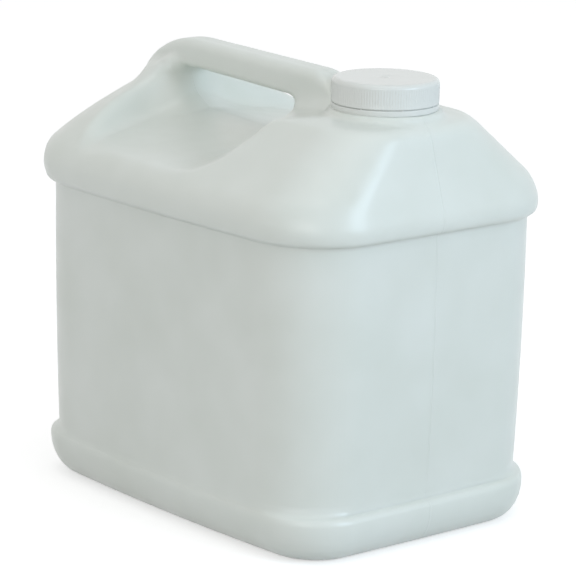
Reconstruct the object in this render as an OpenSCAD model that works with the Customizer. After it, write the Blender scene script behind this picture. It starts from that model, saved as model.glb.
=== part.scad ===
// Blow-moulded jerrycan of about 14 litres, with a handle formed in its top and a screw cap.
// The can's length runs along X with the neck towards +X, and it stands on z = 0 with the
// origin under the middle of its shoulder band. The mould parts on the plane Y = 0.

/* [Can] */
// Length over the shoulder band
can_l = 309; // [295:1:330]
// Width over the shoulder band
can_w = 230; // [215:1:245]
// Corner radius of the shoulder band, in plan
corner_r = 51; // [40:1:60]
// Wall thickness of the moulding
wall_t = 2; // [1.2:0.1:3]
// How far the middle of each long side bows out past its ends
side_bow = 5; // [0:0.5:8]
// How far the middle of each end bows out past its corners
end_bow = 1.2; // [0:0.2:3]

/* [Foot] */
// Height of the foot band
foot_h = 31; // [26:1:40]
// How far the round under the foot band runs in from its side
round_in = 19.5; // [12:0.5:23]
// Radius of the foot band's top edge
foot_edge_r = 5; // [3:0.5:8]
// How far the foot band stands out from the wall above it, at the ends
foot_step_end = 5.6; // [2:0.2:8]
// How far the foot band stands out from the wall above it, at the long sides
foot_step_side = 1; // [1:0.2:6]
// Width of the flat ring that the can stands on
stand_w = 9; // [5:1:16]
// How far the base is pushed up inside that ring
push_up = 4; // [2:0.5:8]

/* [Wall] */
// Height of the wall from the foot band to the shoulder band
wall_h = 175; // [140:1:220]
// How far the shoulder band stands out from the wall under it, at the ends
band_step_end = 5.8; // [3:0.2:8]
// How far the shoulder band stands out from the wall under it, at the long sides
band_step_side = 3.2; // [2:0.2:6]
// How much each end wall draws in from the top of the wall to the foot
wall_draft_end = 2.8; // [0:0.2:5]
// How much each side wall draws in from the top of the wall to the foot
wall_draft_side = 1.8; // [0:0.2:4]
// How far the end walls swell at mid height
end_swell = 1.5; // [0:0.1:5]

/* [Shoulder] */
// Height of the deck round the neck over the widest line of the band
shoulder_h = 58; // [50:1:70]
// Radius from the band's widest line into the slopes
brow_r = 24; // [16:1:30]
// Slope of the long sides, from level
side_slope = 40; // [36:1:46]
// Slope of the end under the neck, from level
front_slope = 73; // [68:1:80]
// Slope of the end under the handle, from level
rear_slope = 75; // [70:1:82]
// Radius from the slopes into the deck
deck_round = 10; // [6:1:18]

/* [Handle] */
// Width of the grip, across the can
grip_w = 24; // [18:1:30]
// Height of the grip's section
grip_h = 18; // [14:0.5:20]
// Height of the grip's top over the deck
grip_rise = 24.4; // [18:0.5:26]
// Distance from the rear end of the can to the rear end of the finger opening
rear_root = 60; // [50:1:70]
// Distance from the neck's axis back to the front end of the finger opening
front_root = 72; // [66:1:80]
// Radius of the finger opening's corners
opening_r = 13; // [8:1:16]
// Gap between the front of the handle and the cap
cap_gap = 2; // [1.5:0.5:6]

/* [Hand scoop] */
// Depth of the scoop's floor under the deck, at the middle
scoop_depth = 29; // [24:1:34]
// Fall of the floor towards the long sides, as a ratio
floor_fall = 0.11; // [0:0.005:0.15]
// Rise of the rear crest over the deck, at the middle
crest_rise = 1.6; // [-4:0.2:2]
// Fall of the rear crest towards the long sides, as a ratio
crest_fall = 0.36; // [0.2:0.01:0.4]

/* [Neck and closure] */
// Distance of the neck's axis from the front end of the can
neck_inset = 59.5; // [56:0.5:75]
// Outer diameter of the neck under its thread
neck_d = 59; // [50:0.5:60]
// Thickness of the neck's wall
neck_wall = 2.5; // [2:0.1:4]
// How far the bead for the tamper ring stands out of the neck
bead_reach = 2.7; // [2:0.1:3.5]
// Height of the cap
cap_h = 15.6; // [12:0.2:20]
// Thickness of the cap's top
cap_top_t = 1.8; // [1.2:0.1:2.4]
// Thickness of the cap's skirt
skirt_t = 1.8; // [1.2:0.1:2.2]
// Radius round the cap's top edge
cap_edge_r = 3.4; // [1.5:0.1:4.5]
// Thickness of the wad
liner_t = 1.2; // [0.8:0.1:2]
// Height of the tamper ring
ring_h = 3; // [2:0.1:5]
// Gap between the tamper ring and the cap
ring_gap = 0.6; // [0.4:0.1:1.2]
// Number of bridges on the tamper ring
bridges = 8; // [4:1:16]

/* [Hidden] */

// Half sizes of the shoulder band
half_l = can_l / 2;
half_w = can_w / 2;

// Heights, from the floor up
band_z = foot_h + wall_h;
band_lip = 2.5;
front_wide_z = band_z + 6;
side_wide_z = band_z + 9;
deck_z = band_z + 8 + shoulder_h;
floor_z = deck_z - scoop_depth;
crest_z = deck_z + crest_rise;
grip_top = deck_z + grip_rise;
boss_z = deck_z + 5.5;

// Neck and closure
neck_x = half_l - neck_inset;
ring_z = boss_z + 0.8;
skirt_z = ring_z + ring_h + ring_gap;
cap_top = skirt_z + cap_h;
rim_z = cap_top - cap_top_t - liner_t;
running_gap = 0.5;
neck_r = neck_d / 2;
bore_r = neck_r - neck_wall;
bead_r = neck_r + bead_reach;
skirt_r = bead_r + running_gap;
cap_r = skirt_r + skirt_t;
hook_r = bead_r - 0.8;
boss_r = cap_r + 1.1;

// Finger opening and handle
rear_x = -half_l + rear_root;
front_x = neck_x - front_root;
pillar_x = neck_x - cap_r - cap_gap;
grip_sag = 2.6;
under_rear_z = grip_top - grip_h;
under_front_z = under_rear_z - 3.8;
rear_end_in = 15.3;
rear_end_x = -half_l + rear_end_in;
rear_arc_l = 46.7;
rear_arc_h = 30;
front_arc_l = 27;
front_arc_h = 23;
// Height and reach of the flare where the handle meets the can
flare_h = 7.5;
flare_r = 6.5;
// How much further out the wall and the foot lie at the front end than at the rear
wall_lead = 1.2;
foot_lead = 2.4;
// How far the foot band draws in towards its top at the front end, and towards its base
// at the rear end
foot_lean = 2.2;

function lerp(a, b, t) = a + (b - a) * t;
function clamp01(t) = min(max(t, 0), 1);
function smooth(t) = let (s = clamp01(t)) s * s * (3 - 2 * s);
// Smooth minimum and maximum, which round the meeting of two surfaces over the height k
function smin(a, b, k) = let (h = max(k - abs(a - b), 0) / k) min(a, b) - h * h * k / 4;
function smax(a, b, k) = -smin(-a, -b, k);

// One level of the can in plan: [rear, front, half width, front corner radius, height,
// rear corner radius]. Its sides and ends bow out in the middle.
function corner_of(level, corner) =
    let (r = corner == 1 || corner == 2 ? level[5] : level[3])
    [corner == 0 || corner == 3 ? level[1] - r : r - level[0],
     (corner < 2 ? 1 : -1) * (level[2] - r), r];

function on_level(level, x, y) =
    let (a = (level[0] + level[1]) / 2, c = (level[1] - level[0]) / 2, u = (x - c) / a,
         v = y / level[2])
    [c + (x - c) * (1 - end_bow / a * v * v), y * (1 - side_bow / level[2] * u * u), level[4]];

function plan(level, n) = [
    for (corner = [0:3])
        let (here = corner_of(level, corner), next = corner_of(level, (corner + 1) % 4),
             steps = corner % 2 == 0 ? n - 3 : n - 5)
        each concat(
            [for (i = [0:n])
                let (t = 90 * (corner + i / n))
                on_level(level, here[0] + here[2] * cos(t), here[1] + here[2] * sin(t))],
            [for (i = [1:steps - 1])
                let (t = 90 * (corner + 1))
                on_level(level, lerp(here[0] + here[2] * cos(t), next[0] + next[2] * cos(t), i / steps),
                         lerp(here[1] + here[2] * sin(t), next[1] + next[2] * sin(t), i / steps))])
];

// A closed skin through rings of equal length, capped flat at both ends
module skin(rings) {
    n = len(rings[0]);
    m = len(rings);
    points = [for (ring = rings) each ring];
    sides = [for (j = [0:m - 2], i = [0:n - 1])
        let (a = j * n + i, b = j * n + (i + 1) % n)
        each [[a, a + n, b + n], [a, b + n, b]]];
    bottom = [for (i = [0:n - 1]) i];
    top = [for (i = [n - 1:-1:0]) (m - 1) * n + i];
    polyhedron(points, concat(sides, [bottom, top]));
}

// Half sizes of the wall at height share s, swelling at mid height
function wall_level(s, w) =
    let (swell = end_swell * 4 * s * (1 - s),
         end = half_l - 2 - band_step_end - wall_draft_end * (1 - s) + swell - w,
         side = half_w - 2 - band_step_side - wall_draft_side * (1 - s) - w)
    [end, end + wall_lead, side, corner_r - 4 - w, foot_h + wall_h * s, corner_r - 4 - w];

foot_end = wall_level(0, 0)[0] + foot_step_end;
foot_side = wall_level(0, 0)[2] + foot_step_side;
foot_r = corner_r - 9.5;

// The foot band's outline, drawn in by a distance at its ends and at its sides
function foot_level(end_in, side_in, z) =
    let (r = max(foot_r - end_in, 6), t = z / foot_h)
    [foot_end - end_in - foot_lean * (1 - t) * smooth(z / 5),
     foot_end + foot_lead - end_in - foot_lean * t, foot_side - side_in, r, z, r];

// Base and foot band: pushed-up middle, standing ring, round, and the step in to the wall
function foot_levels(w) = let (out = round_in + stand_w, flat_z = push_up + w,
    round_up = foot_h - foot_edge_r) concat(
    [for (p = [[out + 26, flat_z], [out + 14, flat_z], [out + 3, w + 0.6], [out, w],
               [round_in, w]])
        foot_level(p[0], p[0], p[1])],
    [for (i = [1:6])
        let (t = 15 * i, in = round_in - (round_in - w) * sin(t))
        foot_level(in, in, round_up - (round_up - w) * cos(t))],
    [for (t = [30, 60, 90])
        let (share = 1 - cos(t))
        foot_level(w + foot_step_end * share, w + foot_step_side * share,
            round_up + (foot_edge_r - w) * sin(t))]);

// Wall, then the step out to the lip of the shoulder band
function wall_levels(w) = concat(
    [for (s = [0.008, 0.2, 0.4, 0.6, 0.8, 0.985])
        let (v = wall_level(s, w)) [v[0], v[1], v[2], v[3], v[4] + w / 2, v[5]]],
    [for (p = [[3.2, 0], [2, 0.6], [1.1, band_lip]])
        let (in = p[0] + w, r = corner_r - in)
        [half_l - in, half_l - in, half_w - in, r, band_z + p[1] + w, r]]);

// How far a slope has drawn in at height z: a brow from upright, the slope, and a round to the deck
function drawn_in(z, wide_z, slope, top_z) =
    let (brow_rise = brow_r * cos(slope),
         brow_in = brow_r * (1 - sin(slope)),
         round_rise = deck_round * (cos(deck_slope) - cos(slope)),
         round_z = top_z - round_rise,
         slope_z = wide_z + brow_rise,
         slope_in = brow_in + (round_z - slope_z) / tan(slope))
    z <= wide_z ? 0
    : z < slope_z ? brow_r * (1 - sqrt(1 - pow((z - wide_z) / brow_r, 2)))
    : z < round_z ? brow_in + (z - slope_z) / tan(slope)
    : z < top_z ? let (c = cos(slope) + (z - round_z) / deck_round)
        slope_in + deck_round * (sin(slope) - sqrt(1 - c * c))
    : slope_in + deck_round * (sin(slope) - sin(deck_slope)) + (z - top_z) / tan(deck_slope);
deck_slope = 14;
rear_corner_draw = 14;

// Shoulder: the hipped top of the can, before the hand scoop is cut
function shoulder_levels(w) = [
    for (z = [band_z + 7, band_z + 12, band_z + 17, band_z + 22, band_z + 27, band_z + 33,
              band_z + 44, deck_z - 12, deck_z - 8, deck_z - 4.5, deck_z - 2, deck_z, deck_z + 3])
        let (front = half_l - w - drawn_in(z, front_wide_z, front_slope, deck_z),
             rear = half_l - w - drawn_in(z, front_wide_z, rear_slope, deck_z + 4),
             side = half_w - w - drawn_in(z, side_wide_z, side_slope, deck_z))
        [rear, front, side, corner_r - w - 0.25 * (half_w - w - side),
            z - w * smooth((z - band_z) / shoulder_h),
            corner_r - w - rear_corner_draw * smooth((z - band_z) / 34)]
];

module hipped_can(w, n) {
    levels = concat(foot_levels(w), wall_levels(w), shoulder_levels(w));
    skin([for (level = levels) plan(level, n)]);
}

// Hand scoop: a floor that falls to both sides, a steep wall up to the rear crest,
// and a front wall that eases into the deck behind the neck. Each surface moves in
// by the wall thickness w at right angles to its slope.
rear_wall_pitch = 2.2;
front_wall_pitch = 0.95;
floor_pitch = 0.05;
ridge_pitch = 0.3;
neck_pitch = 0.186;
function rear_foot(ay) = rear_x - 9.5 + 0.003 * ay * ay;
function front_foot(ay) = front_x - 35 + 0.56 * ay;
function flare(ay) = flare_h * exp(-max(ay - grip_w / 2, 0) / flare_r);
function scoop_z(x, ay, w) =
    let (low = floor_z + 3 - floor_pitch * x - floor_fall * ay,
         ridge = crest_z - crest_fall * ay + ridge_pitch * (x + half_l - 20) + flare(ay),
         rear_face = front_wide_z + (x + half_l) * tan(rear_slope),
         crest = smin(ridge - 1.1 * w, rear_face - w / cos(rear_slope), 20),
         rear_wall = low + rear_wall_pitch * (rear_foot(ay) - x) - w * norm([1, rear_wall_pitch, 0.5]),
         front_wall = low + front_wall_pitch * (x - front_foot(ay)) - w * norm([1, front_wall_pitch, 0.6]),
         lift = flare(ay) * smooth((x - front_x + 12) / 12),
         behind_neck = deck_z - 12.5 + neck_pitch * x + lift - 1.02 * w,
         foot_round = lerp(4, 16, smooth((x - rear_foot(ay) + 18) / 14)))
    smax(smax(low - w, smin(rear_wall, crest, 12), foot_round), smin(front_wall, behind_neck, 10), 12);

// Everything above the scoop, to be taken away. Its mesh follows the feet of the two walls.
module above_scoop(w, rows) {
    y1 = half_w + 8;
    x0 = -half_l - 8;
    x1 = neck_x - 12;
    rise = crest_z - floor_z;
    function stations(ay) =
        let (r = rear_foot(ay), f = front_foot(ay), top = max(r - rise / rear_wall_pitch, x0 + 8))
        concat([x0, lerp(x0, top, 0.4), lerp(x0, top, 0.75), top],
            [for (t = [0.3, 0.6, 0.85]) lerp(top, r, t)], [r, r + 4, r + 9],
            [for (t = [0.3, 0.5, 0.7]) lerp(r, f, t)],
            [f - 8, f - 3, f + 2, f + 7, f + 13, f + 19, f + 26, f + 34],
            [lerp(f + 34, max(x1, f + 44), 0.5), max(x1, f + 44)]);
    ys = [for (j = [-rows:rows]) let (t = j / rows) y1 * (0.55 * t + 0.45 * t * abs(t))];
    count = len(stations(0));
    skin([for (i = [0:count - 1])
        let (edge = i == count - 1 ? max(x1, front_foot(y1) + 44) : 0)
        concat(
            [for (y = ys)
                let (ay = sqrt(y * y + 9), x = edge > 0 ? edge : stations(ay)[i])
                [x, y, scoop_z(x, ay, w)]],
            [for (side = [1, -1])
                [edge > 0 ? edge : stations(y1)[i], side * y1, grip_top + 40]])]);
}

// Handle: pairs of points on its top and its underside, from the rear root to the front root
function handle_top() = concat(
    [[rear_end_x, deck_z - 40]],
    [for (t = [0:11.25:90])
        [rear_end_x + rear_arc_l * (1 - cos(t)), grip_top - rear_arc_h * (1 - sin(t))]],
    [for (t = [0.25, 0.5, 0.75])
        lerp([rear_end_x + rear_arc_l, grip_top], [pillar_x - front_arc_l, grip_top - grip_sag], t)],
    [for (t = [90:-15:0])
        [pillar_x - front_arc_l * (1 - cos(t)), grip_top - grip_sag - front_arc_h * (1 - sin(t))]],
    [[pillar_x + 1, deck_z - 12]]);
function handle_under() = concat(
    [[rear_x - 6, deck_z - 40]],
    [for (t = [0:11.25:90])
        [rear_x + opening_r * (1 - cos(t)), under_rear_z - opening_r * (1 - sin(t))]],
    [for (t = [0.25, 0.5, 0.75]) lerp([rear_x + opening_r, under_rear_z],
                                      [front_x - opening_r, under_front_z], t)],
    [for (t = [90:-15:0])
        [front_x - opening_r * (1 - cos(t)), under_front_z - opening_r * (1 - sin(t))]],
    [[front_x, deck_z - 24]]);

// Rounded section of the handle between a top point and an underside point
function handle_ring(top, under, w) =
    let (v = top - under,
         h = norm(v),
         dir = v / h,
         half = grip_w / 2 - w,
         lo = w,
         hi = h - w,
         corners = [[half, hi, 7, 0], [-half, hi, 7, 90], [-half, lo, 4, 180], [half, lo, 4, 270]])
    [for (c = corners)
        let (r = c[2] - w / 2, cy = c[0] - sign(c[0]) * r, ch = c[3] < 180 ? hi - r : lo + r)
        for (i = [0:3])
            let (t = c[3] + 30 * i,
                 s = ch + r * sin(t),
                 p = under + dir * s)
            [p[0], cy + r * cos(t), p[1]]];

module handle(w) {
    top = handle_top();
    under = handle_under();
    skin([for (i = [0:len(top) - 1]) handle_ring(top[i], under[i], w)]);
}

// Neck: stepped boss on the deck, barrel with its tamper bead, and a sealing land on top
module neck() {
    translate([neck_x, 0, 0])
        rotate_extrude($fn = 96)
            polygon([[0, deck_z - 6], [boss_r + 6.4, deck_z - 6], [boss_r + 6.4, deck_z - 1.5],
                     [boss_r + 5, deck_z + 0.6], [boss_r + 1.8, deck_z + 1.6],
                     [boss_r + 1, boss_z - 0.8], [boss_r, boss_z],
                     [neck_r, boss_z], [neck_r, ring_z + 1.6], [bead_r, ring_z + 2.4],
                     [bead_r, ring_z + 3], [neck_r, ring_z + 4.6], [neck_r, rim_z - 1],
                     [neck_r - 1, rim_z], [0, rim_z]]);
}

module neck_bore() {
    translate([neck_x, 0, deck_z - 12])
        cylinder(r = bore_r, h = rim_z - deck_z + 13, $fn = 96);
}

module body() {
    color([0.87, 0.89, 0.88, 0.75])
        difference() {
            union() {
                difference() {
                    hipped_can(0, 9);
                    above_scoop(0, 13);
                }
                handle(0);
                neck();
            }
            difference() {
                hipped_can(wall_t, 7);
                above_scoop(wall_t, 8);
            }
            handle(wall_t);
            neck_bore();
        }
}

// Cap: a skirt with a round top edge and the small mark of its gate
module cap() {
    color("white")
        translate([neck_x, 0, 0])
            difference() {
                union() {
                    rotate_extrude($fn = 120)
                        union() {
                            translate([0, skirt_z])
                                square([cap_r - cap_edge_r, cap_h]);
                            translate([0, skirt_z])
                                square([cap_r, cap_h - cap_edge_r]);
                            translate([cap_r - cap_edge_r, cap_top - cap_edge_r])
                                circle(r = cap_edge_r, $fn = 48);
                        }
                    translate([0, 0, cap_top - 0.1])
                        cylinder(r = 1.6, h = 0.35, $fn = 24);
                }
                translate([0, 0, skirt_z - 1])
                    cylinder(r = skirt_r, h = cap_h - cap_top_t + 1, $fn = 120);
            }
}

// Wad that seals the neck's rim against the cap's top
module cap_liner() {
    color("whitesmoke")
        translate([neck_x, 0, rim_z])
            cylinder(r = neck_r + 1.2, h = liner_t, $fn = 96);
}

// Tamper ring: a band that hooks under the neck's bead, with short bridges up to the cap
module tamper_ring() {
    color("white")
        translate([neck_x, 0, ring_z]) {
            rotate_extrude($fn = 120)
                polygon([[hook_r, 0], [cap_r, 0], [cap_r, ring_h], [skirt_r, ring_h],
                         [skirt_r, 2], [hook_r, 1.2]]);
            for (i = [0:bridges - 1])
                rotate([0, 0, (i + 0.5) * 360 / bridges])
                    translate([skirt_r + 0.2, -0.6, ring_h - 0.1])
                        cube([skirt_t - 0.5, 1.2, ring_gap]);
        }
}

body();
cap();
cap_liner();
tamper_ring();
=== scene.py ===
"""Looks of a blow-moulded plastic jerrycan: the can as one smooth moulding, its knurled screw
cap, the tamper ring and the sealing wad, in a plain studio."""
import logging
import math
from dataclasses import dataclass
from enum import Enum
from typing import Sequence

import bmesh
import bpy
import numpy as np
from mathutils import Matrix, Vector


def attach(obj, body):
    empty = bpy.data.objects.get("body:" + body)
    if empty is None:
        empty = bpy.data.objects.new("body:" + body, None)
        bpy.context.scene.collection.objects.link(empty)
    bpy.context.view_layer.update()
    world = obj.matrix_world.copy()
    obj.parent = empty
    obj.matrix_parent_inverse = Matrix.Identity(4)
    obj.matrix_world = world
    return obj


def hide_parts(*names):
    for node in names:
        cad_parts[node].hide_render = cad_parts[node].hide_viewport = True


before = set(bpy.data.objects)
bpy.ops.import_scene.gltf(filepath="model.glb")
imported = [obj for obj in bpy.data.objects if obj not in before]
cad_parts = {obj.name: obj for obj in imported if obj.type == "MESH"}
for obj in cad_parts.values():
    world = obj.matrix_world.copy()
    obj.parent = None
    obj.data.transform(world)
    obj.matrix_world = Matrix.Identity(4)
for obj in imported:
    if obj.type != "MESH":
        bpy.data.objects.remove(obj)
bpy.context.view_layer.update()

LOG = logging.getLogger("jerrycan")
MM = 0.001
Points = np.ndarray


# Small helpers

def smooth_step(t: Points) -> Points:
    """Ease from 0 to 1 as t goes from 0 to 1."""
    s = np.clip(t, 0.0, 1.0)
    return s * s * (3.0 - 2.0 * s)


def soft_min(a: Points, b: Points, k: float | Points) -> Points:
    """Smaller of two fields, rounded where they meet.

    Args:
        a: First field.
        b: Second field.
        k: Width of the rounding, in the fields' own unit, one or one for each point.

    Returns:
        The blended field.
    """
    h = np.maximum(k - np.abs(a - b), 0.0) / k
    return np.minimum(a, b) - h * h * k / 4.0


def soft_max(a: Points, b: Points, k: float | Points) -> Points:
    """Larger of two fields, rounded where they meet."""
    return -soft_min(-a, -b, k)


def new_object(name: str, mesh_from: bmesh.types.BMesh, smooth: bool = True) -> bpy.types.Object:
    """Turn a bmesh into an object at the origin.

    Args:
        name: Name of the piece.
        mesh_from: The finished bmesh, which is freed.
        smooth: Whether the faces are shaded smooth.

    Returns:
        The new object, linked to the scene.
    """
    mesh = bpy.data.meshes.new(name)
    mesh_from.to_mesh(mesh)
    mesh_from.free()
    if smooth:
        mesh.shade_smooth()
    made = bpy.data.objects.new(name, mesh)
    bpy.context.scene.collection.objects.link(made)
    return made


def with_modifiers_applied(source: bpy.types.Object) -> bpy.types.Mesh:
    """Bake an object's modifiers into a new mesh and remove the object.

    Args:
        source: The object, which is deleted.

    Returns:
        The baked mesh.
    """
    graph = bpy.context.evaluated_depsgraph_get()
    mesh = bpy.data.meshes.new_from_object(source.evaluated_get(graph))
    bpy.data.objects.remove(source)
    return mesh


def revolve(bm: bmesh.types.BMesh, profile: Sequence[tuple[float, float]], steps: int,
            axis_x: float, closed: bool = False) -> None:
    """Spin a profile of (radius, height) points in millimetres round a vertical axis.

    Args:
        bm: The bmesh that gets the new faces.
        profile: Points from one end of the profile to the other.
        steps: Number of steps in the full turn.
        axis_x: Place of the axis along X, in millimetres.
        closed: Whether the last point joins the first.
    """
    verts = [bm.verts.new((axis_x * MM + r * MM, 0.0, z * MM)) for r, z in profile]
    pairs = list(zip(verts, verts[1:])) + ([(verts[-1], verts[0])] if closed else [])
    edges = [bm.edges.new(pair) for pair in pairs]
    bmesh.ops.spin(bm, geom=verts + edges, cent=(axis_x * MM, 0.0, 0.0), axis=(0.0, 0.0, 1.0),
                   dvec=(0.0, 0.0, 0.0), angle=2.0 * math.pi, steps=steps, use_merge=True)
    bmesh.ops.remove_doubles(bm, verts=bm.verts, dist=0.001 * MM)


# The can's form

@dataclass(frozen=True)
class Level:
    """One level of the can in plan, in millimetres."""

    rear: float
    front: float
    side: float
    front_r: float
    rear_r: float
    z: float


@dataclass(frozen=True)
class CanForm:
    """Sizes of the can in millimetres, after the part's source, and its smooth surface."""

    # Plan
    can_l: float = 309.0
    can_w: float = 230.0
    corner_r: float = 51.0
    side_bow: float = 5.0
    end_bow: float = 1.2
    # Foot band and base
    foot_h: float = 31.0
    round_in: float = 19.5
    foot_edge_r: float = 5.0
    foot_step_end: float = 5.6
    foot_step_side: float = 1.0
    foot_lead: float = 2.4
    foot_lean: float = 2.2
    stand_w: float = 9.0
    push_up: float = 4.0
    # Wall and shoulder band
    wall_h: float = 175.0
    band_h: float = 8.0
    band_tuck: float = 2.0
    band_step_end: float = 5.8
    band_step_side: float = 3.2
    wall_draft_end: float = 2.8
    wall_draft_side: float = 1.8
    wall_lead: float = 1.2
    end_swell: float = 1.5
    # Hipped shoulder and deck
    shoulder_h: float = 58.0
    brow_up_end: float = 6.0
    brow_up_side: float = 9.0
    brow_r: float = 24.0
    side_slope: float = 40.0
    front_slope: float = 73.0
    rear_slope: float = 75.0
    deck_round: float = 10.0
    deck_slope: float = 14.0
    rear_corner_draw: float = 14.0
    lid_rise: float = 2.6
    # Handle and the opening under it
    grip_w: float = 24.0
    grip_h: float = 18.0
    grip_rise: float = 24.4
    grip_sag: float = 2.6
    grip_taper: float = 3.8
    grip_edge_r: float = 6.5
    grip_under_r: float = 3.5
    rear_end_in: float = 15.3
    rear_arc_l: float = 46.7
    rear_arc_h: float = 30.0
    nose_l: float = 27.0
    nose_h: float = 23.0
    rear_root: float = 60.0
    front_root: float = 72.0
    opening_r: float = 13.0
    throat_r: float = 8.0
    throat_back: float = 19.5
    leg_back: float = 13.0
    cap_gap: float = 2.0
    grip_fillet: float = 7.0
    root_fillet: float = 28.0
    # Hand scoop
    scoop_depth: float = 26.0
    floor_fall: float = 0.105
    floor_pitch: float = 0.05
    floor_flat_y: float = 110.0
    foot_back: float = 9.5
    foot_curve: float = 0.0016
    wall_foot_r: float = 16.0
    crest_rise: float = 1.6
    crest_fall: float = 0.36
    crest_r: float = 12.0
    ridge_pitch: float = 0.3
    rear_wall_pitch: float = 2.2
    front_wall_pitch: float = 0.95
    front_wall_back: float = 35.0
    front_wall_turn: float = 0.56
    neck_pitch: float = 0.186
    neck_drop: float = 12.5
    rim_front_r: float = 1.8
    rim_rear_r: float = 10.8
    flare_h: float = 7.5
    flare_r: float = 6.5
    # Neck's place and boss
    neck_inset: float = 59.5
    cap_r: float = 34.5
    boss_h: float = 5.5
    boss_r: float = 36.2
    boss_blend: float = 6.0

    @property
    def half_l(self) -> float:
        """Half the length over the shoulder band."""
        return self.can_l / 2.0

    @property
    def half_w(self) -> float:
        """Half the width over the shoulder band."""
        return self.can_w / 2.0

    @property
    def band_z(self) -> float:
        """Height of the shoulder band's lower edge."""
        return self.foot_h + self.wall_h

    @property
    def deck_z(self) -> float:
        """Height of the deck round the neck."""
        return self.band_z + self.band_h + self.shoulder_h

    @property
    def boss_z(self) -> float:
        """Height of the boss under the neck."""
        return self.deck_z + self.boss_h

    @property
    def neck_x(self) -> float:
        """Place of the neck's axis along X."""
        return self.half_l - self.neck_inset

    @property
    def grip_top(self) -> float:
        """Height of the handle's top."""
        return self.deck_z + self.grip_rise

    @property
    def rear_x(self) -> float:
        """Rear foot of the scoop's floor, from which wall and opening are set back."""
        return -self.half_l + self.rear_root

    @property
    def front_x(self) -> float:
        """Front end of the finger opening."""
        return self.neck_x - self.front_root

    def drawn_in(self, z: Points, wide_z: float, slope: float, top_z: float) -> Points:
        """How far a slope of the shoulder has drawn in at height z.

        Args:
            z: Heights.
            wide_z: Height at which the slope starts from upright.
            slope: Its angle from level, in degrees.
            top_z: Height at which it meets the deck.

        Returns:
            Distances in from the widest line.
        """
        slant, deck = math.radians(slope), math.radians(self.deck_slope)
        brow_rise = self.brow_r * math.cos(slant)
        brow_in = self.brow_r * (1.0 - math.sin(slant))
        round_z = top_z - self.deck_round * (math.cos(deck) - math.cos(slant))
        slope_z = wide_z + brow_rise
        slope_in = brow_in + (round_z - slope_z) / math.tan(slant)
        brow = self.brow_r * (1.0 - np.sqrt(np.clip(1.0 - ((z - wide_z) / self.brow_r) ** 2, 0.0, 1.0)))
        run = brow_in + (z - slope_z) / math.tan(slant)
        c = np.clip(math.cos(slant) + (z - round_z) / self.deck_round, -1.0, 1.0)
        turn = slope_in + self.deck_round * (math.sin(slant) - np.sqrt(1.0 - c * c))
        top = (slope_in + self.deck_round * (math.sin(slant) - math.sin(deck))
               + (z - top_z) / math.tan(deck))
        return np.select([z <= wide_z, z < slope_z, z < round_z, z < top_z],
                         [np.zeros_like(z), brow, run, turn], top)

    def shoulder(self, z: Points) -> tuple[Points, Points, Points, Points, Points]:
        """Half sizes and corner radii of the shoulder at heights z, before the scoop is cut."""
        end_z, side_z = self.band_z + self.brow_up_end, self.band_z + self.brow_up_side
        front = self.half_l - self.drawn_in(z, end_z, self.front_slope, self.deck_z)
        rear = self.half_l - self.drawn_in(z, end_z, self.rear_slope, self.deck_z + 4.0)
        side = self.half_w - self.drawn_in(z, side_z, self.side_slope, self.deck_z)
        front_r = self.corner_r - 0.25 * (self.half_w - side)
        rear_r = self.corner_r - self.rear_corner_draw * smooth_step((z - self.band_z) / 34.0)
        return rear, front, side, front_r, rear_r

    def plan_distance(self, p: Points) -> Points:
        """Distance in plan from the shoulder's outline at each point's own height."""
        rear, front, side, front_r, rear_r = self.shoulder(p[:, 2])
        side = np.maximum(side, 22.0)
        middle, reach = (front - rear) / 2.0, (front + rear) / 2.0
        x, y = p[:, 0] - middle, p[:, 1]
        x, y = (x / (1.0 - self.end_bow / reach * np.clip(y / side, -1, 1) ** 2),
                y / (1.0 - self.side_bow / side * np.clip(x / reach, -1, 1) ** 2))
        r = np.minimum(np.where(x > 0, front_r, rear_r), side - 1.0)
        qx, qy = np.abs(x) - (reach - r), np.abs(y) - (side - r)
        return (np.hypot(np.maximum(qx, 0), np.maximum(qy, 0))
                + np.minimum(np.maximum(qx, qy), 0) - r)

    def hipped_top(self, p: Points) -> Points:
        """Distance from the hipped shoulder, closed by the deck under the neck."""
        here, above = self.plan_distance(p), self.plan_distance(p + np.array([0.0, 0.0, 0.5]))
        steep = (above - here) / 0.5
        lid = p[:, 2] - (self.deck_z + self.lid_rise)
        return soft_max(here / np.sqrt(1.0 + steep * steep), lid, 3.0)

    def rear_foot(self, ay: Points) -> Points:
        """Where the scoop's rear wall stands on its floor."""
        return self.rear_x - self.foot_back + self.foot_curve * ay * ay

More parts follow.
